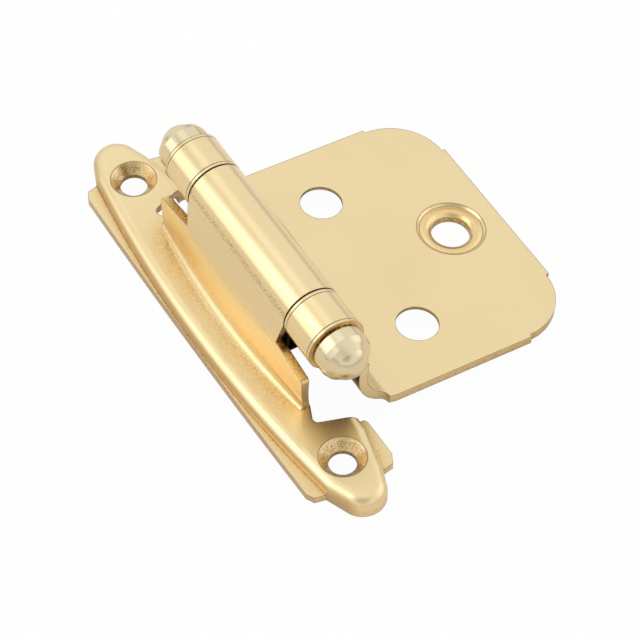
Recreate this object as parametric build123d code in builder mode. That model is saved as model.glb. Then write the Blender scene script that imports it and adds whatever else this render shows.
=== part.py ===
from build123d import *
from math import sin, cos, tan, asin, radians
import os

os.makedirs("parts", exist_ok=True)

# sizes in millimetres; origin midway between the two frame screws, on the mounting plane
centre_knuckle_length = 24.0
outer_knuckle_length = 6.0
knuckle_gap = 0.2          # end play between knuckles, each side
wall_short = 0.2           # web ends this far inside the outer knuckles' ends
notch_room = 2.6           # from there to the pads, which carry the frame screws
screw_inset = 6.4          # pad edge to the screw
strip_end = 9.3            # pad edge to the end of the straight strip
tip_reach = 5.025          # from there to the rounded tip's end
frame_sheet = 1.1
raise_height = 2.9         # top of the raised strip above the mounting plane
axis_out = 4.4             # pin axis beside the screw line
axis_up = 13.3             # pin axis above the mounting plane
barrel_od = 8.1
curl_stop = 39.8           # centre knuckle's rolled edge, degrees short of straight down
wall_height = 8.5          # outer end of the cut-down web
wall_rise = 0.85           # how much higher its top runs beside the centre knuckle
wall_undercut = 0.7
web_mid = 4.95             # pin axis out to the web at that height
web_foot_mid = 5.8         # the same at the strip, halfway along
web_foot_end = 4.85
valley_mid = 1.3           # radius where strip and web meet
valley_end = 0.5
left_foot = 4.2            # strip foot at its ends, left of the screw line
strip_bow = 2.2            # how far the strip swells toward the middle
left_edge = 6.3            # flange edge at its ends, left of the screw line
flange_bow = 0.33
flange_short = 1.5         # flange stops this far before the strip's end
right_foot = 5.3
right_edge = 6.3
shoulder_run = 5.4         # pads narrow toward the tip over this length
neck_in = 1.35
neck_past = 0.4
pad_slant = 0.35
notch_relief = 1.1         # the notch runs in under the strip this far past the web end
tip_radius = 3.2
frame_hole = 3.7
frame_sink = 6.2
dish_depth = 1.35
dish_land = 0.6
plate_sheet = 1.3
plate_drop = 11.6          # pin axis down to the top of the door plate
plate_reach = 37.75        # pin axis out to the plate's free edge
plate_height = 42.2
corner_radius = 8.2
corner_step = 0.45
bend_radius = 5.2
rest_lean = 5.0            # the free hinge folds this far past flat, in degrees
door_hole = 5.8
door_sink = 7.6            # countersink on the far side
door_land = 0.5
door_hole_out = 17.3       # pin axis out to the pair of countersunk holes
door_hole_spacing = 24.3
collar_out = 30.5
collar_hole = 5.3
collar_ring = 9.4
collar_depth = 0.3
collar_lip = 0.95          # rounding of the collar into its hole
collar_draw = 0.6          # how deep that rounding runs
neck_shoulder = 4.0        # pin axis down to where the neck widens past the knuckles
neck_wide = 2.0            # neck runs this far past the knuckles' ends
neck_swell = 2.6           # barrel out to where it widens to the plate's height
swell_length = 0.7
window_room = 1.15         # neck cut away this far below the centre knuckle
running_fit = 0.05         # pin in centre knuckle, radial
press_fit = 0.01           # pin in outer knuckles, radial
cam_room = 0.52            # between the spring's curl and the round of the cam
flat_depth = 0.45          # flat on the cam that the spring bears on
land_length = 2.6
spring_sheet = 0.45
spring_play = 0.4          # curl inside the barrel, short of the pin's lands
fold_short = 0.1           # fold hanging under the barrel, short of the knuckle's ends
fold_radius = 0.5
fold_hang = 1.9            # fold below the barrel
fold_tuck = 0.5            # fold's outer leg inside the barrel's side
fold_in = 0.6
spring_seat = 0.03
tip_inset = 0.5            # tip's radius less than the barrel's
tip_length = 5.15
dome_in = 1.05             # tip's flat dome starts this far inside its side
dome_rise = 1.4
stub_radius = 1.2
stub_length = 3.0

barrel_r = barrel_od / 2
frame_bore = barrel_r - frame_sheet
door_bore = barrel_r - plate_sheet
cam_radius = frame_bore - spring_sheet - spring_seat - cam_room
cam_flat = cam_radius - flat_depth
fold_drop, fold_out = barrel_r + fold_hang, barrel_r - fold_tuck
window_drop = barrel_r + window_room
tip_ball = barrel_r - tip_inset
dome_edge = tip_ball - dome_in
centre_half = centre_knuckle_length / 2
outer_start = centre_half + knuckle_gap
outer_end = outer_start + outer_knuckle_length
wall_half_length = outer_end - wall_short
pad_edge = wall_half_length + notch_room
screw_spacing = 2 * (pad_edge + screw_inset)
crescent_half_length = pad_edge + strip_end
half_length = crescent_half_length + tip_reach
cam_half = centre_half - land_length
spring_half_length = cam_half - spring_play
fold_half_length = centre_half - fold_short
lean = radians(rest_lean)

barrel = Plane(origin=(axis_out, 0, axis_up), x_dir=(1, 0, 0), z_dir=(0, -1, 0))
lengthwise = Plane(origin=(axis_out, 0, axis_up), x_dir=(0, 1, 0), z_dir=(1, 0, 0))
pin_axis = Axis((axis_out, 0, axis_up), (0, 1, 0))
leaf = Plane(origin=(axis_out, 0, axis_up), x_dir=(cos(lean), 0, -sin(lean)), z_dir=(0, -1, 0))
leaf_top = Plane(
    origin=leaf.from_local_coords((0, -plate_drop, 0)), x_dir=leaf.x_dir,
    z_dir=(sin(lean), 0, cos(lean)),
)

# outline of the raised area, its right side still straight between the pads
with BuildSketch(Plane.XY) as raised:
    with BuildLine():
        shoulder = crescent_half_length - shoulder_run
        Line((right_foot, -shoulder), (right_foot, shoulder))
        for side in (1, -1):
            flank_x = tip_radius * cos(radians(16))
            flank_y = side * (half_length - tip_radius * (1 - sin(radians(16))))
            neck_x, neck_y = right_foot - neck_in, side * (crescent_half_length + neck_past)
            Line((right_foot, side * shoulder), (neck_x, neck_y))
            Line((neck_x, neck_y), (flank_x, flank_y))
            ThreePointArc((flank_x, flank_y), (0, side * half_length), (-flank_x, flank_y))
            Line((-flank_x, flank_y), (-left_foot, side * crescent_half_length))
        ThreePointArc(
            (-left_foot, crescent_half_length), (-left_foot - strip_bow, 0),
            (-left_foot, -crescent_half_length),
        )
    make_face()

# space under the raised area
with BuildPart() as hollow:
    with BuildSketch(Plane.XY):
        add(raised.sketch)
        offset(amount=-frame_sheet, kind=Kind.INTERSECTION)
    extrude(amount=raise_height - frame_sheet)
    chamfer(hollow.faces().sort_by(Axis.Z)[-1].edges(), length=(raise_height - frame_sheet) * 0.3)

with BuildPart() as frame_wing:
    # raised strip, pads and tips with their rolled-over edge
    with BuildSketch(Plane.XY):
        add(raised.sketch)
    extrude(amount=raise_height)
    fillet(frame_wing.faces().sort_by(Axis.Z)[-1].edges(), radius=(raise_height - frame_sheet) * 0.9)
    # left flange, one bow from end to end
    with BuildSketch(Plane.XY):
        with BuildLine():
            flange_end = crescent_half_length - flange_short
            ThreePointArc((-left_edge, flange_end), (-left_edge - flange_bow, 0), (-left_edge, -flange_end))
            for side in (1, -1):
                Polyline(
                    (-left_edge, side * flange_end),
                    (-left_edge + 0.6, side * (crescent_half_length - 0.35)),
                    (-left_foot + 0.1, side * crescent_half_length),
                    (-left_foot + 2.0, side * (crescent_half_length - 2)),
                )
            Line(
                (-left_foot + 2.0, crescent_half_length - 2), (-left_foot + 2.0, 2 - crescent_half_length)
            )
        make_face()
    extrude(amount=frame_sheet)
    # right flanges, one beside each pad
    for side in (1, -1):
        with BuildSketch(Plane.XY):
            with BuildLine():
                Polyline(
                    (right_foot - 2.5, side * (pad_edge + 1)), (right_edge - 0.5, side * (pad_edge + 1.5)),
                    (right_edge, side * (pad_edge + 2.3)), (right_edge, side * (crescent_half_length - 1.2)),
                    (right_edge - 0.7, side * (crescent_half_length + 0.2)),
                    (right_foot - 1.45, side * (crescent_half_length + 0.5)),
                    (right_foot - 2.5, side * (crescent_half_length - 2)), close=True,
                )
            make_face()
        extrude(amount=frame_sheet)
    add(hollow.part, mode=Mode.SUBTRACT)
    # open side between the pads
    with BuildSketch(Plane.XY):
        notch_x = axis_out - web_foot_end + frame_sheet
        corner_x, far = notch_x - notch_relief, right_edge + 1
        shoulder_x = right_foot - 0.6
        shoulder_y = pad_edge + pad_slant * (shoulder_x - corner_x)
        with BuildLine():
            Polyline(
                (notch_x, wall_half_length), (corner_x, pad_edge), (shoulder_x, shoulder_y), (far, shoulder_y),
                (far, -shoulder_y), (shoulder_x, -shoulder_y), (corner_x, -pad_edge),
                (notch_x, -wall_half_length), close=True,
            )
        make_face()
        fillet(vertices().sort_by(Axis.X)[:2], radius=0.7)
    extrude(amount=raise_height, mode=Mode.SUBTRACT)
    # web climbing from a soft valley in the strip to the barrel, bowed at its foot
    for at, foot, valley in (
        (-wall_half_length, web_foot_end, valley_end), (0, web_foot_mid, valley_mid),
        (wall_half_length, web_foot_end, valley_end),
    ):
        with BuildSketch(Plane.XZ.offset(at)):
            with BuildLine():
                low = raise_height - frame_sheet
                x_foot, x_mid, x_top = axis_out - foot, axis_out - web_mid, axis_out - barrel_r
                ThreePointArc(
                    (x_foot - valley, raise_height),
                    (x_foot - 0.29 * valley, raise_height + 0.29 * valley),
                    (x_foot + 0.05, raise_height + valley),
                )
                ThreePointArc((x_foot + 0.05, raise_height + valley), (x_mid, wall_height), (x_top, axis_up))
                Line((x_top, axis_up), (x_top + frame_sheet, axis_up))
                ThreePointArc(
                    (x_top + frame_sheet, axis_up), (x_mid + frame_sheet, wall_height),
                    (x_foot + frame_sheet, low),
                )
                Polyline((x_foot + frame_sheet, low), (x_foot - valley, low), (x_foot - valley, raise_height))
            make_face()
    loft()
    # web ends cut down clear of the outer knuckles
    with BuildSketch(lengthwise):
        for side in (1, -1):
            top, beyond = wall_height - axis_up, wall_half_length + 1
            with BuildLine():
                corner = Polyline(
                    (side * beyond, 1), (side * centre_half, 1), (side * centre_half, -0.5),
                    (side * (centre_half - wall_undercut), top + wall_rise),
                    (side * (wall_half_length - 0.6), top + 0.05),
                )
                ThreePointArc(
                    corner @ 1, (side * (wall_half_length - 0.17), top - 0.12), (side * wall_half_length, top - 0.55)
                )
                Polyline(
                    (side * wall_half_length, top - 0.55), (side * beyond, top - 0.55), (side * beyond, 1)
                )
            make_face()
    extrude(amount=2 * barrel_r, both=True, mode=Mode.SUBTRACT)
    # centre knuckle, open underneath
    with BuildSketch(barrel):
        Circle(barrel_r)
        Circle(frame_bore, mode=Mode.SUBTRACT)
        with BuildLine():
            Polyline(
                (0, 0), (-barrel_od, 0), (-barrel_od, -barrel_od),
                (barrel_od * tan(radians(curl_stop)), -barrel_od), close=True,
            )
        make_face(mode=Mode.SUBTRACT)
    extrude(amount=centre_half, both=True)
    # screw dishes
    for side in (1, -1):
        with Locations((0, side * screw_spacing / 2, raise_height - dish_depth - dish_land)):
            Cone(
                frame_hole / 2 + 0.7, frame_sink / 2 + 0.7, dish_depth,
                align=(Align.CENTER, Align.CENTER, Align.MIN),
            )
        with Locations((0, side * screw_spacing / 2, raise_height - dish_depth)):
            Cone(
                frame_hole / 2, frame_sink / 2, dish_depth,
                align=(Align.CENTER, Align.CENTER, Align.MIN), mode=Mode.SUBTRACT,
            )
            Cylinder(frame_hole / 2, 3 * raise_height, mode=Mode.SUBTRACT)

with BuildPart() as door_wing:
    # neck dropping from the barrel and bending out into the plate
    with BuildSketch(leaf):
        with BuildLine():
            bend_x, bend_y = barrel_r + bend_radius, bend_radius - plate_drop
            Line((barrel_r, 0), (barrel_r, bend_y))
            CenterArc((bend_x, bend_y), bend_radius, 180, 90)
            Polyline(
                (bend_x, -plate_drop), (bend_x + 1, -plate_drop), (bend_x + 1, -plate_drop - plate_sheet),
                (bend_x, -plate_drop - plate_sheet),
            )
            CenterArc((bend_x, bend_y), bend_radius + plate_sheet, 180, 90)
            Polyline((door_bore, bend_y), (door_bore, 0), (barrel_r, 0))
        make_face()
    extrude(amount=plate_height / 2, both=True)
    # plate with stepped round corners
    with BuildSketch(leaf_top):
        with BuildLine():
            edge_y, turn_x = plate_height / 2, plate_reach - corner_radius
            inner = corner_radius - corner_step
            for side in (1, -1):
                Polyline(
                    (bend_x, 0), (bend_x, side * edge_y), (turn_x, side * edge_y),
                    (turn_x, side * (edge_y - corner_step)),
                )
                ThreePointArc(
                    (turn_x, side * (edge_y - corner_step)),
                    (turn_x + inner * sin(radians(45)), side * (edge_y - corner_radius + inner * cos(radians(45)))),
                    (plate_reach - corner_step, side * (edge_y - corner_radius)),
                )
                Polyline(
                    (plate_reach - corner_step, side * (edge_y - corner_radius)),
                    (plate_reach, side * (edge_y - corner_radius)), (plate_reach, 0),
                )
        make_face()
        with Locations((door_hole_out, door_hole_spacing / 2), (door_hole_out, -door_hole_spacing / 2)):
            Circle(door_hole / 2, mode=Mode.SUBTRACT)
    extrude(amount=-plate_sheet)
    # countersinks for the screws that enter from the far side
    for side in (1, -1):
        with BuildSketch(leaf_top.offset(-plate_sheet)):
            with Locations((door_hole_out, side * door_hole_spacing / 2)):
                Circle(door_sink / 2)
        with BuildSketch(leaf_top.offset(-door_land)):
            with Locations((door_hole_out, side * door_hole_spacing / 2)):
                Circle(door_hole / 2)
        loft(mode=Mode.SUBTRACT)
    # ends of the neck cut back, swelling out to the plate's full height across the bend
    with BuildSketch(leaf_top):
        for side in (1, -1):
            swell_x, neck_end = barrel_r + neck_swell, outer_end + neck_wide
            with BuildLine():
                Polyline(
                    (swell_x, side * neck_end), (door_bore - 1, side * neck_end),
                    (door_bore - 1, side * (edge_y + 1)), (swell_x + swell_length, side * (edge_y + 1)),
                    (swell_x + swell_length, side * edge_y),
                )
                ThreePointArc(
                    (swell_x, side * neck_end),
                    (swell_x + 0.6 * swell_length, side * (0.7 * neck_end + 0.3 * edge_y)),
                    (swell_x + swell_length, side * edge_y),
                )
            make_face()
    extrude(amount=plate_drop, both=True, mode=Mode.SUBTRACT)
    # shoulders that let the knuckles stand clear of the tips
    for side in (1, -1):
        with BuildSketch(leaf.offset(side * outer_end)):
            with Locations((barrel_r, -neck_shoulder)):
                Rectangle(barrel_r, 2 * neck_shoulder, align=(Align.CENTER, Align.MIN))
        extrude(amount=side * 2 * neck_wide, mode=Mode.SUBTRACT)
    # window in the neck for the centre knuckle
    with BuildSketch(leaf):
        with Locations((barrel_r, -window_drop)):
            Rectangle(barrel_r, 2 * window_drop, align=(Align.CENTER, Align.MIN))
    extrude(amount=outer_start, both=True, mode=Mode.SUBTRACT)
    # outer knuckles curled over the pin
    for side in (1, -1):
        with BuildSketch(leaf.offset(side * outer_start)):
            Circle(barrel_r)
            Circle(door_bore, mode=Mode.SUBTRACT)
            with Locations((door_bore, 0)):
                Rectangle(1.2, barrel_r, align=(Align.MAX, Align.MAX), mode=Mode.SUBTRACT)
        extrude(amount=side * outer_knuckle_length)
    # collared screw hole drawn down through the plate
    collar = Plane(
        origin=leaf_top.from_local_coords((collar_out, 0, 0)), x_dir=leaf_top.x_dir, z_dir=(0, -1, 0)
    )
    throat = collar_hole / 2
    with BuildSketch(collar):
        with BuildLine():
            Polyline(
                (0, -plate_sheet / 2), (collar_ring / 2 - 0.2, -plate_sheet / 2),
                (collar_ring / 2 - 0.2, -plate_sheet), (collar_ring / 2 - 0.7, -plate_sheet - collar_depth),
                (0, -plate_sheet - collar_depth), close=True,
            )
        make_face()
    revolve(axis=Axis(collar.origin, leaf_top.z_dir))
    with BuildSketch(collar):
        with BuildLine():
            Polyline(
                (0, 0.5), (collar_ring / 2, 0.5), (collar_ring / 2, 0),
                (collar_ring / 2 - 0.35, -collar_depth), (throat + collar_lip, -collar_depth - 0.03),
                (throat + 0.4 * collar_lip, -collar_depth - 0.25 * collar_draw),
                (throat + 0.1 * collar_lip, -collar_depth - 0.6 * collar_draw),
                (throat, -collar_depth - collar_draw), (throat, -3 * plate_sheet),
                (0, -3 * plate_sheet), close=True,
            )
        make_face()
    revolve(axis=Axis(collar.origin, leaf_top.z_dir), mode=Mode.SUBTRACT)

# pin with running lands and a waisted cam between them
with BuildPart() as hinge_pin:
    with BuildSketch(lengthwise):
        with BuildLine():
            land_r, end_r = frame_bore - running_fit, door_bore - press_fit
            pin_half = outer_end - 0.05
            for side in (1, -1):
                Polyline(
                    (0, cam_radius), (side * cam_half, cam_radius), (side * cam_half, land_r),
                    (side * centre_half, land_r), (side * outer_start, end_r), (side * pin_half, end_r),
                    (side * pin_half, stub_radius), (side * (pin_half - stub_length), stub_radius),
                    (side * (pin_half - stub_length), 0),
                )
            Line((stub_length - pin_half, 0), (pin_half - stub_length, 0))
        make_face()
    revolve(axis=pin_axis)
    # flat that the spring closes on
    with BuildSketch(barrel):
        with Locations((0, -cam_flat)):
            Rectangle(3 * cam_radius, cam_radius, align=(Align.CENTER, Align.MAX))
    extrude(amount=cam_half, both=True, mode=Mode.SUBTRACT)

# leaf spring: curled round the cam, folded under the barrel, bearing on the flat
with BuildPart() as closing_spring:
    with BuildSketch(barrel):
        with BuildLine():
            curl_r = frame_bore - spring_seat - spring_sheet / 2
            bear_y = -cam_flat - spring_seat - spring_sheet / 2
            CenterArc((0, 0), curl_r, -35, 215)
            FilletPolyline(
                (-curl_r, 0), (-fold_out, -fold_drop), (-fold_in, -fold_drop), (-fold_in, bear_y), (0.9, bear_y),
                radius=fold_radius,
            )
        trace(line_width=spring_sheet)
    extrude(amount=fold_half_length, both=True)
    # only the fold runs on past the curl
    for side in (1, -1):
        with BuildSketch(barrel.offset(side * spring_half_length)):
            with BuildLine():
                leg_x = -curl_r + 0.25
                Polyline(
                    (-2 * barrel_r, -1.8), (leg_x, -1.8), (leg_x, -frame_bore - 0.35),
                    (2 * barrel_r, -frame_bore - 0.35), (2 * barrel_r, 2 * barrel_r),
                    (-2 * barrel_r, 2 * barrel_r), close=True,
                )
            make_face()
        extrude(amount=side * (fold_half_length - spring_half_length), mode=Mode.SUBTRACT)

# button tips with a stub in the pin's end
tips = {}
for name, side in (("upper_tip", 1), ("lower_tip", -1)):
    with BuildPart() as tip:
        with BuildSketch(lengthwise):
            with BuildLine():
                base, crown = outer_end, outer_end + tip_length
                Polyline(
                    (side * crown, 0), (side * (base - stub_length + 0.2), 0),
                    (side * (base - stub_length + 0.2), stub_radius - press_fit),
                    (side * base, stub_radius - press_fit), (side * base, tip_ball - 0.3),
                    (side * (base + 0.45), tip_ball), (side * (base + 2.1), tip_ball),
                    (side * (base + 2.95), tip_ball - 0.27), (side * (crown - dome_rise), dome_edge),
                )
                dome_r = (dome_edge ** 2 + dome_rise ** 2) / (2 * dome_rise)
                half_turn = asin(dome_edge / dome_r) / 2
                ThreePointArc(
                    (side * (crown - dome_rise), dome_edge),
                    (side * (crown - dome_r + dome_r * cos(half_turn)), dome_r * sin(half_turn)),
                    (side * crown, 0),
                )
            make_face()
        revolve(axis=pin_axis)
    tips[name] = tip

for name, piece in (
    ("frame_wing", frame_wing), ("door_wing", door_wing), ("hinge_pin", hinge_pin),
    ("closing_spring", closing_spring), ("upper_tip", tips["upper_tip"]), ("lower_tip", tips["lower_tip"]),
):
    piece.part.label = name
    export_step(piece.part, f"parts/{name}.step")
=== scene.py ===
import bpy
from math import cos, radians
from mathutils import Matrix, Vector


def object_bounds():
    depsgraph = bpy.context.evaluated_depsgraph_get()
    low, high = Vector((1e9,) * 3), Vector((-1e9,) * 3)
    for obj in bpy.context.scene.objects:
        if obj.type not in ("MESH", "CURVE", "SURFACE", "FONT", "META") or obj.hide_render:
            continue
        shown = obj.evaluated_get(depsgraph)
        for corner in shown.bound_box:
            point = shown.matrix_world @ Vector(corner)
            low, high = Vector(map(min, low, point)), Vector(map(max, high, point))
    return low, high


mm = 0.001

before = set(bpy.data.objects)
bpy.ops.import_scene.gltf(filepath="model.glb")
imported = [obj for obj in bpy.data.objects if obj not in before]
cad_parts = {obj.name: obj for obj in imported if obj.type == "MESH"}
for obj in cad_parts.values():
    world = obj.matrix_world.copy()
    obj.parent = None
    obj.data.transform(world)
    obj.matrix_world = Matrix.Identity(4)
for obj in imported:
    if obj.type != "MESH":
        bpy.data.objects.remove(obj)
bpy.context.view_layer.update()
print("frame loaded:", ", ".join(sorted(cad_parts)))

pinAxis = (4.4, 0, 13.3)              # mm, the pin runs along Y through this point
softDetail, fineDetail = 2.0, 3.0     # octaves of noise
bumpStrength = 0.5


# sRGB hex to linear
def toLinear(hexColour):
    channels = [int(hexColour[i:i + 2], 16) / 255 for i in (1, 3, 5)]
    return tuple(c / 12.92 if c <= 0.04045 else ((c + 0.055) / 1.055) ** 2.4 for c in channels) + (1.0,)


# links a socket into another, or sets it to a plain value
def feed(tree, socket, value):
    if isinstance(value, bpy.types.NodeSocket):
        tree.links.new(value, socket)
    else:
        socket.default_value = value


# one node with its settings and inputs; in0, in1 and so on are inputs by number, others by name
def addNode(tree, kind, settings=None, **inputs):
    node = tree.nodes.new(kind)
    for key, value in (settings or {}).items():
        setattr(node, key, value)
    for key, value in inputs.items():
        numbered = key.startswith("in") and key[2:].isdigit()
        feed(tree, node.inputs[int(key[2:]) if numbered else key.replace("_", " ")], value)
    return node


def metalMaterial(name, colour, roughness):
    material = bpy.data.materials.new(name)
    material.use_nodes = True
    shader = material.node_tree.nodes["Principled BSDF"]
    shader.inputs["Base Color"].default_value = toLinear(colour)
    shader.inputs["Roughness"].default_value = roughness
    shader.inputs["Metallic"].default_value = 1.0
    return material, material.node_tree, shader


# noise drawn out along the pin, sizes in mm
def drawnNoise(tree, place, width, length, detail):
    across, along = 1 / (width * mm), 1 / (length * mm)
    stretched = addNode(tree, "ShaderNodeMapping", Vector=place, Scale=(across, along, across))
    return addNode(tree, "ShaderNodeTexNoise", Vector=stretched.outputs["Vector"],
                   Scale=1.0, Detail=detail).outputs["Fac"]


# 1 where value is at centre, fading to 0 at half a width from it
def band(tree, value, centre, width):
    off = addNode(tree, "ShaderNodeMath", {"operation": "SUBTRACT"}, in0=value, in1=centre)
    off = addNode(tree, "ShaderNodeMath", {"operation": "ABSOLUTE"}, in0=off.outputs[0])
    return addNode(tree, "ShaderNodeMapRange", {"interpolation_type": "SMOOTHSTEP"},
                   Value=off.outputs[0], From_Max=width / 2, To_Min=1.0, To_Max=0.0).outputs["Result"]


# brass-plated steel, rolled then polished: pale yellow, a soft mirror with a faint grain along the sheet
brass = {
    "colour": "#EFDBA9",
    "deepColour": "#E9D09A",
    "cloudSize": 16,            # mm, slow drift of the plating's colour
    "roughness": 0.27,
    "roughnessSpread": 0.04,
    "lacquerRoughness": 0.12,   # clear lacquer over the plating
    "grainWidth": 0.30,         # mm, coarser than the real grain so that it shows
    "grainLength": 4.0,         # mm
    "grainDepth": 0.0008,       # mm
    "pitSize": 0.22,            # mm, orange-peel speckle of the plating
    "pitDepth": 0.0025,         # mm
    "edgeRound": 0.25,          # mm, tumbled sheet edges
    "edgeDarkReflectionColour": "#6A4D2B",    # painted dark reflection: a thin dark line along each rounded edge
    "edgeBend": (0.80, 0.965),  # cosines between which that line fades out
    "recessShadeReach": 7.0,        # mm, reach of the painted shade in recesses
    # ramp of painted shade, from deep recesses to the open surface
    "recessShade": ((0.10, "#2A1D10"), (0.30, "#8A6734"), (0.55, "#EDD8AE"), (0.92, "#FFFFFF")),
    "speckSize": 0.30,          # mm, the painted shade breaks up into specks
    "speckSpread": 1.0,
    "raySamples": 8,            # for edges and painted shade
}

# on the frame wing, in mm: a darker speckled dish wall with a darker rim line, painted dark reflections
# at the crease and on the strip's left wall, and a duller struck strip; its two ends are alike
frameMarks = {
    "dishCentre": (0, 27.0, 0),
    "dishRim": 3.14,
    "dishRimWidth": 0.26,
    "dishRimColour": "#AB8650",
    "dishWall": 2.45,
    "dishWallWidth": 1.9,
    "dishColour": "#98733E",
    "dishSpeck": 0.2,
    "dishSpeckRange": (0.42, 0.68),
    "creaseAngle": 159,                # degrees round the pin, painted dark reflection in a band where web turns into barrel
    "creaseWidth": 24,
    "creaseDarkReflectionColour": "#A47E48",
    "creaseSpeck": 0.28,
    "creaseSpeckRange": (0.35, 0.75),
    "shoulderBelow": 2.6,              # painted dark reflection on the strip's steep left wall, damping its highlight
    "shoulderFacing": (-0.60, -0.95),
    "shoulderDarkReflectionColour": "#C6A267",
    "satinBelow": (5.0, 9.0),          # the struck strip is duller than the barrel
    "satinRoughness": 0.34,
}


def frameWingMarks(tree, surface):
    place = addNode(tree, "ShaderNodeSeparateXYZ", Vector=surface["Object"]).outputs
    specks = {}
    for name in ("dish", "crease"):
        least, most = frameMarks[name + "SpeckRange"]
        noise = addNode(tree, "ShaderNodeTexNoise", Vector=surface["Object"],
                        Scale=1 / (frameMarks[name + "Speck"] * mm))
        specks[name] = addNode(tree, "ShaderNodeMapRange", Value=noise.outputs["Fac"],
                               From_Min=least, From_Max=most).outputs["Result"]

    # darker speckled dish wall and a darker line at its rim
    endwards = addNode(tree, "ShaderNodeMath", {"operation": "ABSOLUTE"}, in0=place["Y"])
    flat = addNode(tree, "ShaderNodeCombineXYZ", X=place["X"], Y=endwards.outputs[0])
    fromDish = addNode(tree, "ShaderNodeVectorMath", {"operation": "DISTANCE"}, in0=flat.outputs[0],
                       in1=Vector(frameMarks["dishCentre"]) * mm).outputs["Value"]
    rim = band(tree, fromDish, frameMarks["dishRim"] * mm, frameMarks["dishRimWidth"] * mm)
    wall = band(tree, fromDish, frameMarks["dishWall"] * mm, frameMarks["dishWallWidth"] * mm)

    # painted dark reflection in a speckled band round the pin where the web meets the barrel
    fromPin = addNode(tree, "ShaderNodeVectorMath", {"operation": "SUBTRACT"},
                      in0=surface["Object"], in1=Vector(pinAxis) * mm)
    fromPin = addNode(tree, "ShaderNodeSeparateXYZ", Vector=fromPin.outputs[0]).outputs
    angle = addNode(tree, "ShaderNodeMath", {"operation": "ARCTAN2"}, in0=fromPin["Z"], in1=fromPin["X"])
    crease = band(tree, angle.outputs[0], radians(frameMarks["creaseAngle"]),
                  radians(frameMarks["creaseWidth"]))

    # painted dark reflection on the low, left-facing wall of the strip
    facing = addNode(tree, "ShaderNodeSeparateXYZ", Vector=surface["Normal"]).outputs["X"]
    gentle, steep = frameMarks["shoulderFacing"]
    shoulder = addNode(tree, "ShaderNodeMapRange", Value=facing, From_Min=gentle, From_Max=steep)
    low = addNode(tree, "ShaderNodeMath", {"operation": "LESS_THAN"},
                  in0=place["Z"], in1=frameMarks["shoulderBelow"] * mm)

    masks = []
    for mask, share in ((wall, specks["dish"]), (shoulder.outputs["Result"], low.outputs[0]),
                        (crease, specks["crease"])):
        masks.append(addNode(tree, "ShaderNodeMath", {"operation": "MULTIPLY"},
                             in0=mask, in1=share).outputs[0])
    speckledWall, shoulderReflection, speckledCreaseReflection = masks

    satinTo, satinFrom = frameMarks["satinBelow"]
    satin = addNode(tree, "ShaderNodeMapRange", {"interpolation_type": "SMOOTHSTEP"},
                    Value=place["Z"], From_Min=satinTo * mm, From_Max=satinFrom * mm,
                    To_Min=frameMarks["satinRoughness"] - brass["roughness"], To_Max=0.0)
    return {
        "tints": [
            (speckledWall, frameMarks["dishColour"]),
            (rim, frameMarks["dishRimColour"]),
            (shoulderReflection, frameMarks["shoulderDarkReflectionColour"]),
            (speckledCreaseReflection, frameMarks["creaseDarkReflectionColour"]),
        ],
        "relief": None,
        "lacquer": 1.0,
        "duller": satin.outputs["Result"],
    }


# what the press tools leave on the door wing, and painted shade inside the neck, in mm
doorMarks = {
    "knuckleReach": 4.4,
    "ringPlaces": (12.68, 17.72),      # rolled rims of the outer knuckles
    "ringWidth": 0.22,
    "ringDepth": 0.04,
    "ringColour": "#63462A",
    "collarCentre": (33.77, 0, -0.91),
    "collarRing": 3.55,                # burnished bead
    "collarRingWidth": 1.7,
    "collarRise": 0.22,
    "collarColour": "#EAC988",
    "collarLines": (4.72, 4.32),
    "collarLineWidth": 0.26,
    "collarLineColour": "#B08A4E",
    "stainOut": 7.0,                   # painted shade inside each end of the neck, where it lies under the barrel
    "stainOutWidth": 6.5,
    "stainAlong": (15.0, 19.0),
    "neckShadeFacing": (-0.95, -0.75),
    "stainColour": "#4A3621",
}


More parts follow.
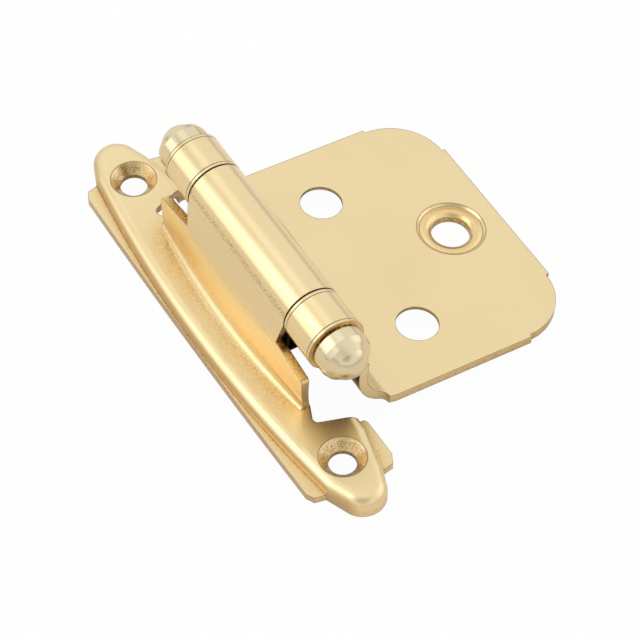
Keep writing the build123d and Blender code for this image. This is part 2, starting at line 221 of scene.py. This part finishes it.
def doorWingMarks(tree, surface):
    place = addNode(tree, "ShaderNodeSeparateXYZ", Vector=surface["Object"]).outputs
    along = addNode(tree, "ShaderNodeMath", {"operation": "ABSOLUTE"}, in0=place["Y"]).outputs[0]
    across = addNode(tree, "ShaderNodeCombineXYZ", X=place["X"], Z=place["Z"])
    fromPin, fromCollar = [
        addNode(tree, "ShaderNodeVectorMath", {"operation": "DISTANCE"},
                in0=start, in1=Vector(centre) * mm).outputs["Value"]
        for start, centre in ((across.outputs[0], pinAxis),
                              (surface["Object"], doorMarks["collarCentre"]))
    ]

    onKnuckle = addNode(tree, "ShaderNodeMath", {"operation": "LESS_THAN"},
                        in0=fromPin, in1=doorMarks["knuckleReach"] * mm)
    rings = []
    for ringPlace in doorMarks["ringPlaces"]:
        ring = band(tree, along, ringPlace * mm, doorMarks["ringWidth"] * mm)
        rings.append(addNode(tree, "ShaderNodeMath", {"operation": "MULTIPLY"},
                             in0=ring, in1=onKnuckle.outputs[0]).outputs[0])
    bead = band(tree, fromCollar, doorMarks["collarRing"] * mm, doorMarks["collarRingWidth"] * mm)
    lines = [band(tree, fromCollar, linePlace * mm, doorMarks["collarLineWidth"] * mm)
             for linePlace in doorMarks["collarLines"]]
    relief = 0.0
    rises = [(ring, -doorMarks["ringDepth"]) for ring in rings] + [(bead, doorMarks["collarRise"])]
    for mask, rise in rises:
        relief = addNode(tree, "ShaderNodeMath", {"operation": "MULTIPLY_ADD"},
                         in0=mask, in1=rise * mm, in2=relief).outputs[0]

    # painted shade on the neck's inner faces near its ends
    facing = addNode(tree, "ShaderNodeSeparateXYZ", Vector=surface["Normal"]).outputs["X"]
    inward, outward = doorMarks["neckShadeFacing"]
    stain = addNode(tree, "ShaderNodeMapRange", Value=facing,
                    From_Min=inward, From_Max=outward, To_Min=1.0, To_Max=0.0)
    near, far = doorMarks["stainAlong"]
    ends = addNode(tree, "ShaderNodeMapRange", {"interpolation_type": "SMOOTHSTEP"},
                   Value=along, From_Min=near * mm, From_Max=far * mm)
    reach = band(tree, fromPin, doorMarks["stainOut"] * mm, doorMarks["stainOutWidth"] * mm)
    for share in (reach, ends.outputs["Result"]):
        stain = addNode(tree, "ShaderNodeMath", {"operation": "MULTIPLY"},
                        in0=stain.outputs[0], in1=share)
    # no lacquer where the painted shade lies, so it shows no reflection
    lacquer = addNode(tree, "ShaderNodeMath", {"operation": "SUBTRACT"}, in0=1.0, in1=stain.outputs[0])
    return {
        "tints": [
            *((ring, doorMarks["ringColour"]) for ring in rings),
            (bead, doorMarks["collarColour"]),
            *((line, doorMarks["collarLineColour"]) for line in lines),
            (stain.outputs[0], doorMarks["stainColour"]),
        ],
        "relief": relief,
        "lacquer": lacquer.outputs[0],
        "duller": 0.0,
    }


def polishedBrassPlate(name, addMarks):
    material, tree, shader = metalMaterial(name, brass["colour"], brass["roughness"])
    surface = addNode(tree, "ShaderNodeTexCoord").outputs
    place = surface["Object"]

    clouds = addNode(tree, "ShaderNodeTexNoise", Vector=place,
                     Scale=1 / (brass["cloudSize"] * mm), Detail=softDetail)
    tint = addNode(tree, "ShaderNodeMix", {"data_type": "RGBA"}, in0=clouds.outputs["Fac"],
                   in6=toLinear(brass["colour"]), in7=toLinear(brass["deepColour"]))
    grain = drawnNoise(tree, place, brass["grainWidth"], brass["grainLength"], fineDetail)
    sheen = addNode(tree, "ShaderNodeMapRange", Value=grain,
                    To_Min=brass["roughness"] - brass["roughnessSpread"] / 2,
                    To_Max=brass["roughness"] + brass["roughnessSpread"] / 2)

    # round the edges, then pits and grain on top
    softEdge = addNode(tree, "ShaderNodeBevel", {"samples": brass["raySamples"]},
                       Radius=brass["edgeRound"] * mm).outputs["Normal"]
    pits = addNode(tree, "ShaderNodeTexNoise", Vector=place,
                   Scale=1 / (brass["pitSize"] * mm), Detail=softDetail)
    normal = softEdge
    for height, depth in ((pits.outputs["Fac"], brass["pitDepth"]), (grain, brass["grainDepth"])):
        normal = addNode(tree, "ShaderNodeBump", Height=height, Normal=normal,
                         Strength=bumpStrength, Distance=depth * mm).outputs["Normal"]

    # painted shade: places that ambient occlusion finds sheltered are darker, in specks
    openness = addNode(tree, "ShaderNodeAmbientOcclusion", {"samples": brass["raySamples"]},
                       Distance=brass["recessShadeReach"] * mm).outputs["AO"]
    specks = addNode(tree, "ShaderNodeTexNoise", Vector=place,
                     Scale=1 / (brass["speckSize"] * mm), Detail=fineDetail)
    specks = addNode(tree, "ShaderNodeMapRange", Value=specks.outputs["Fac"],
                     To_Min=-brass["speckSpread"], To_Max=brass["speckSpread"])
    shut = addNode(tree, "ShaderNodeMath", {"operation": "SUBTRACT"}, in0=1.0, in1=openness)
    patchy = addNode(tree, "ShaderNodeMath", {"operation": "MULTIPLY_ADD"},
                     in0=shut.outputs[0], in1=specks.outputs["Result"], in2=openness)
    paintedShadeRamp = addNode(tree, "ShaderNodeValToRGB", Fac=patchy.outputs[0])
    stops = paintedShadeRamp.color_ramp.elements
    while len(stops) < len(brass["recessShade"]):
        stops.new(0.5)
    for stop, (where, hexColour) in zip(stops, brass["recessShade"]):
        stop.position, stop.color = where, toLinear(hexColour)
    shadedColour = addNode(tree, "ShaderNodeMix", {"data_type": "RGBA", "blend_type": "MULTIPLY"},
                   in0=1.0, in6=tint.outputs[2], in7=paintedShadeRamp.outputs["Color"]).outputs[2]

    # the marks, painted shade and painted dark reflections among them, lie over that, and the painted
    # dark edge line over all
    marks = addMarks(tree, surface)
    for mask, hexColour in marks["tints"]:
        shadedColour = addNode(tree, "ShaderNodeMix", {"data_type": "RGBA"},
                       in0=mask, in6=shadedColour, in7=toLinear(hexColour)).outputs[2]
    if marks["relief"]:
        normal = addNode(tree, "ShaderNodeBump", Height=marks["relief"], Normal=normal,
                         Strength=1.0, Distance=1.0).outputs["Normal"]
    dulled = addNode(tree, "ShaderNodeMath", {"operation": "ADD"},
                     in0=sheen.outputs["Result"], in1=marks["duller"])
    # painted dark reflection: darker where the rounded edge's normal bends away from the face
    facing = addNode(tree, "ShaderNodeNewGeometry").outputs["Normal"]
    bend = addNode(tree, "ShaderNodeVectorMath", {"operation": "DOT_PRODUCT"}, in0=facing, in1=softEdge)
    sharp, even = brass["edgeBend"]
    flatness = addNode(tree, "ShaderNodeMapRange", Value=bend.outputs["Value"],
                       From_Min=sharp, From_Max=even)
    darkEdgeLined = addNode(tree, "ShaderNodeMix", {"data_type": "RGBA"}, in0=flatness.outputs["Result"],
                    in6=toLinear(brass["edgeDarkReflectionColour"]), in7=shadedColour)

    for socket, value in (("Base Color", darkEdgeLined.outputs[2]), ("Roughness", dulled.outputs[0]),
                          ("Coat Weight", marks["lacquer"]),
                          ("Coat Roughness", brass["lacquerRoughness"]), ("Normal", normal)):
        feed(tree, shader.inputs[socket], value)
    return material


# turned steel tips, flash plated: greyer than the sheet, smooth with a fine pitted skin
tip = {
    "colour": "#E2D4B0",
    "roughness": 0.24,
    "pitSize": 0.35,      # mm, coarser than the real skin so that it shows
    "pitDepth": 0.004,    # mm
}


def turnedTip():
    material, tree, shader = metalMaterial("steelTurnedFlashPlated", tip["colour"], tip["roughness"])
    place = addNode(tree, "ShaderNodeTexCoord").outputs["Object"]
    pits = addNode(tree, "ShaderNodeTexNoise", Vector=place,
                   Scale=1 / (tip["pitSize"] * mm), Detail=softDetail)
    peel = addNode(tree, "ShaderNodeBump", Height=pits.outputs["Fac"],
                   Strength=bumpStrength, Distance=tip["pitDepth"] * mm)
    feed(tree, shader.inputs["Normal"], peel.outputs["Normal"])
    return material


# inner steel, cold drawn: dull, with streaks along the wire or strip
innerSteel = {
    "spring": {   # blued, almost black
        "name": "springSteelBlued",
        "colour": "#14191C",
        "streakColour": "#0D1113",
        "roughness": 0.42,
    },
    "pin": {      # bare, mid grey
        "name": "steelDrawnBright",
        "colour": "#8A857B",
        "streakColour": "#767168",
        "roughness": 0.35,
    },
}
streak = {"width": 0.15, "length": 6.0, "roughnessSpread": 0.12}    # mm


def drawnSteel(steel):
    material, tree, shader = metalMaterial(steel["name"], steel["colour"], steel["roughness"])
    place = addNode(tree, "ShaderNodeTexCoord").outputs["Object"]
    streaks = drawnNoise(tree, place, streak["width"], streak["length"], softDetail)
    tint = addNode(tree, "ShaderNodeMix", {"data_type": "RGBA"}, in0=streaks,
                   in6=toLinear(steel["colour"]), in7=toLinear(steel["streakColour"]))
    sheen = addNode(tree, "ShaderNodeMapRange", Value=streaks,
                    To_Min=steel["roughness"] - streak["roughnessSpread"] / 2,
                    To_Max=steel["roughness"] + streak["roughnessSpread"] / 2)
    feed(tree, shader.inputs["Base Color"], tint.outputs[2])
    feed(tree, shader.inputs["Roughness"], sheen.outputs["Result"])
    return material


finishes = {
    "frameBrass": polishedBrassPlate("brassPlatedFrameWing", frameWingMarks),
    "doorBrass": polishedBrassPlate("brassPlatedDoorWing", doorWingMarks),
    "tip": turnedTip(),
    "spring": drawnSteel(innerSteel["spring"]),
    "pin": drawnSteel(innerSteel["pin"]),
}
finishOf = {
    "frame_wing": "frameBrass",
    "door_wing": "doorBrass",
    "hinge_pin": "pin",
    "closing_spring": "spring",
    "upper_tip": "tip",
    "lower_tip": "tip",
}
for name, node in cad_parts.items():
    for holder in node.material_slots:
        holder.material = finishes[finishOf[name]]
    print(name, "is", finishOf[name])

# table of matt warm-white paper, no shine of its own, so only the hinge's soft shadow shows
table = {
    "size": 3.0,             # m
    "colour": "#EDE4D6",
    "glow": 0.97,            # how white the camera sees it
    "mirroredGlow": 0.12,    # and how white the metal does
}
bpy.ops.mesh.primitive_plane_add(size=table["size"], location=(0, 0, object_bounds()[0].z))
floor = bpy.context.object
floor.name = "floor"


def mattPaper():
    material = bpy.data.materials.new("paperMattWarmWhite")
    material.use_nodes = True
    tree = material.node_tree
    tree.nodes.clear()
    matt = addNode(tree, "ShaderNodeBsdfDiffuse", Color=toLinear(table["colour"]))
    glow = addNode(tree, "ShaderNodeEmission", Color=(1, 1, 1, 1), Strength=1.0)
    ray = addNode(tree, "ShaderNodeLightPath").outputs
    mirrored = addNode(tree, "ShaderNodeMath", {"operation": "MAXIMUM"},
                       in0=ray["Is Glossy Ray"], in1=ray["Is Transmission Ray"])
    mirrored = addNode(tree, "ShaderNodeMath", {"operation": "MULTIPLY"},
                       in0=mirrored.outputs[0], in1=table["mirroredGlow"])
    share = addNode(tree, "ShaderNodeMath", {"operation": "MULTIPLY_ADD"},
                    in0=ray["Is Camera Ray"], in1=table["glow"], in2=mirrored.outputs[0])
    both = addNode(tree, "ShaderNodeMixShader",
                   in0=share.outputs[0], in1=matt.outputs[0], in2=glow.outputs[0])
    addNode(tree, "ShaderNodeOutputMaterial", Surface=both.outputs[0])
    return material


floor.data.materials.append(mattPaper())

# white tent: even walls, brighter banks where the soft boxes stand, dimmer where the camera looks in
tent = {
    "wall": 0.98,
    "hem": {"level": 0.35, "from": 0.02, "to": 0.17},    # dark line where walls stop short of the table
    "banks": {                                           # half and soft in degrees
        "left": {"toward": (-0.81, 0.53, 0.26), "half": 6, "soft": 12, "add": 0.6},
        "overhead": {"toward": (0.06, 0.53, 0.85), "half": 5, "soft": 10, "add": 0.25},
        "between": {"toward": (-0.48, 0.53, 0.70), "half": 6, "soft": 14, "add": -0.42},
        "cameraSide": {"toward": (-0.32, -0.53, 0.79), "half": 12, "soft": 22, "add": -0.45},
        "right": {"toward": (0.9, -0.2, 0.4), "half": 14, "soft": 20, "add": 0.4},
    },
}


def whiteTent():
    world = bpy.data.worlds.new("tent")
    bpy.context.scene.world = world
    world.use_nodes = True
    tree = world.node_tree
    facing = addNode(tree, "ShaderNodeTexCoord").outputs["Generated"]
    level = tent["wall"]
    for bank in tent["banks"].values():
        near = addNode(tree, "ShaderNodeVectorMath", {"operation": "DOT_PRODUCT"},
                       in0=facing, in1=Vector(bank["toward"]).normalized())
        patch = addNode(tree, "ShaderNodeMapRange", {"interpolation_type": "SMOOTHSTEP"},
                        Value=near.outputs["Value"],
                        From_Min=cos(radians(bank["half"] + bank["soft"])),
                        From_Max=cos(radians(bank["half"])), To_Max=bank["add"])
        level = addNode(tree, "ShaderNodeMath", {"operation": "ADD"},
                        in0=level, in1=patch.outputs["Result"]).outputs[0]
    height = addNode(tree, "ShaderNodeSeparateXYZ", Vector=facing).outputs["Z"]
    hem = addNode(tree, "ShaderNodeMapRange", {"interpolation_type": "SMOOTHSTEP"}, Value=height,
                  From_Min=tent["hem"]["from"], From_Max=tent["hem"]["to"],
                  To_Min=tent["hem"]["level"])
    level = addNode(tree, "ShaderNodeMath", {"operation": "MULTIPLY"},
                    in0=level, in1=hem.outputs["Result"]).outputs[0]
    ray = addNode(tree, "ShaderNodeLightPath").outputs
    shown = addNode(tree, "ShaderNodeMix", in0=ray["Is Camera Ray"], in2=level, in3=1.0)
    background = tree.nodes["Background"]
    feed(tree, background.inputs["Strength"], shown.outputs[0])
    feed(tree, background.inputs["Color"], (1, 1, 1, 1))


whiteTent()

# one large soft lamp high on the left gives the table its shadow, sizes in m
lamps = {"softBox": {"place": (-0.5, 0.25, 0.6), "size": 0.5, "power": 1.2}}
for name, lamp in lamps.items():
    data = bpy.data.lights.new(name, "AREA")
    data.size, data.energy = lamp["size"], lamp["power"]
    light = bpy.data.objects.new(name, data)
    bpy.context.scene.collection.objects.link(light)
    light.location = lamp["place"]
    light.rotation_mode = "QUATERNION"
    light.rotation_quaternion = (-Vector(lamp["place"])).to_track_quat("-Z", "Y")
print("studio:", len(tent["banks"]), "banks,", len(lamps), "lamp")

# long lens above the lower left corner of the frame wing
shot = {
    "place": (-124.90, -227.02, 330.76),   # mm
    "right": (0.85458, -0.51931, 0.0),
    "up": (0.40828, 0.67187, 0.61797),
    "lens": 180.0,                         # mm
    "filmWidth": 36.0,                     # mm
    "clip": (0.01, 20.0),                  # m
}
lensData = bpy.data.cameras.new("camera")
lensData.lens, lensData.sensor_width = shot["lens"], shot["filmWidth"]
lensData.clip_start, lensData.clip_end = shot["clip"]
camera = bpy.data.objects.new("camera", lensData)
bpy.context.scene.collection.objects.link(camera)
right, up = Vector(shot["right"]), Vector(shot["up"])
turn = Matrix((right, up, right.cross(up))).transposed().to_4x4()
camera.matrix_world = Matrix.Translation(Vector(shot["place"]) * mm) @ turn
bpy.context.scene.camera = camera
bpy.context.scene.view_settings.view_transform = "Standard"
print("camera:", shot["lens"], "mm lens")
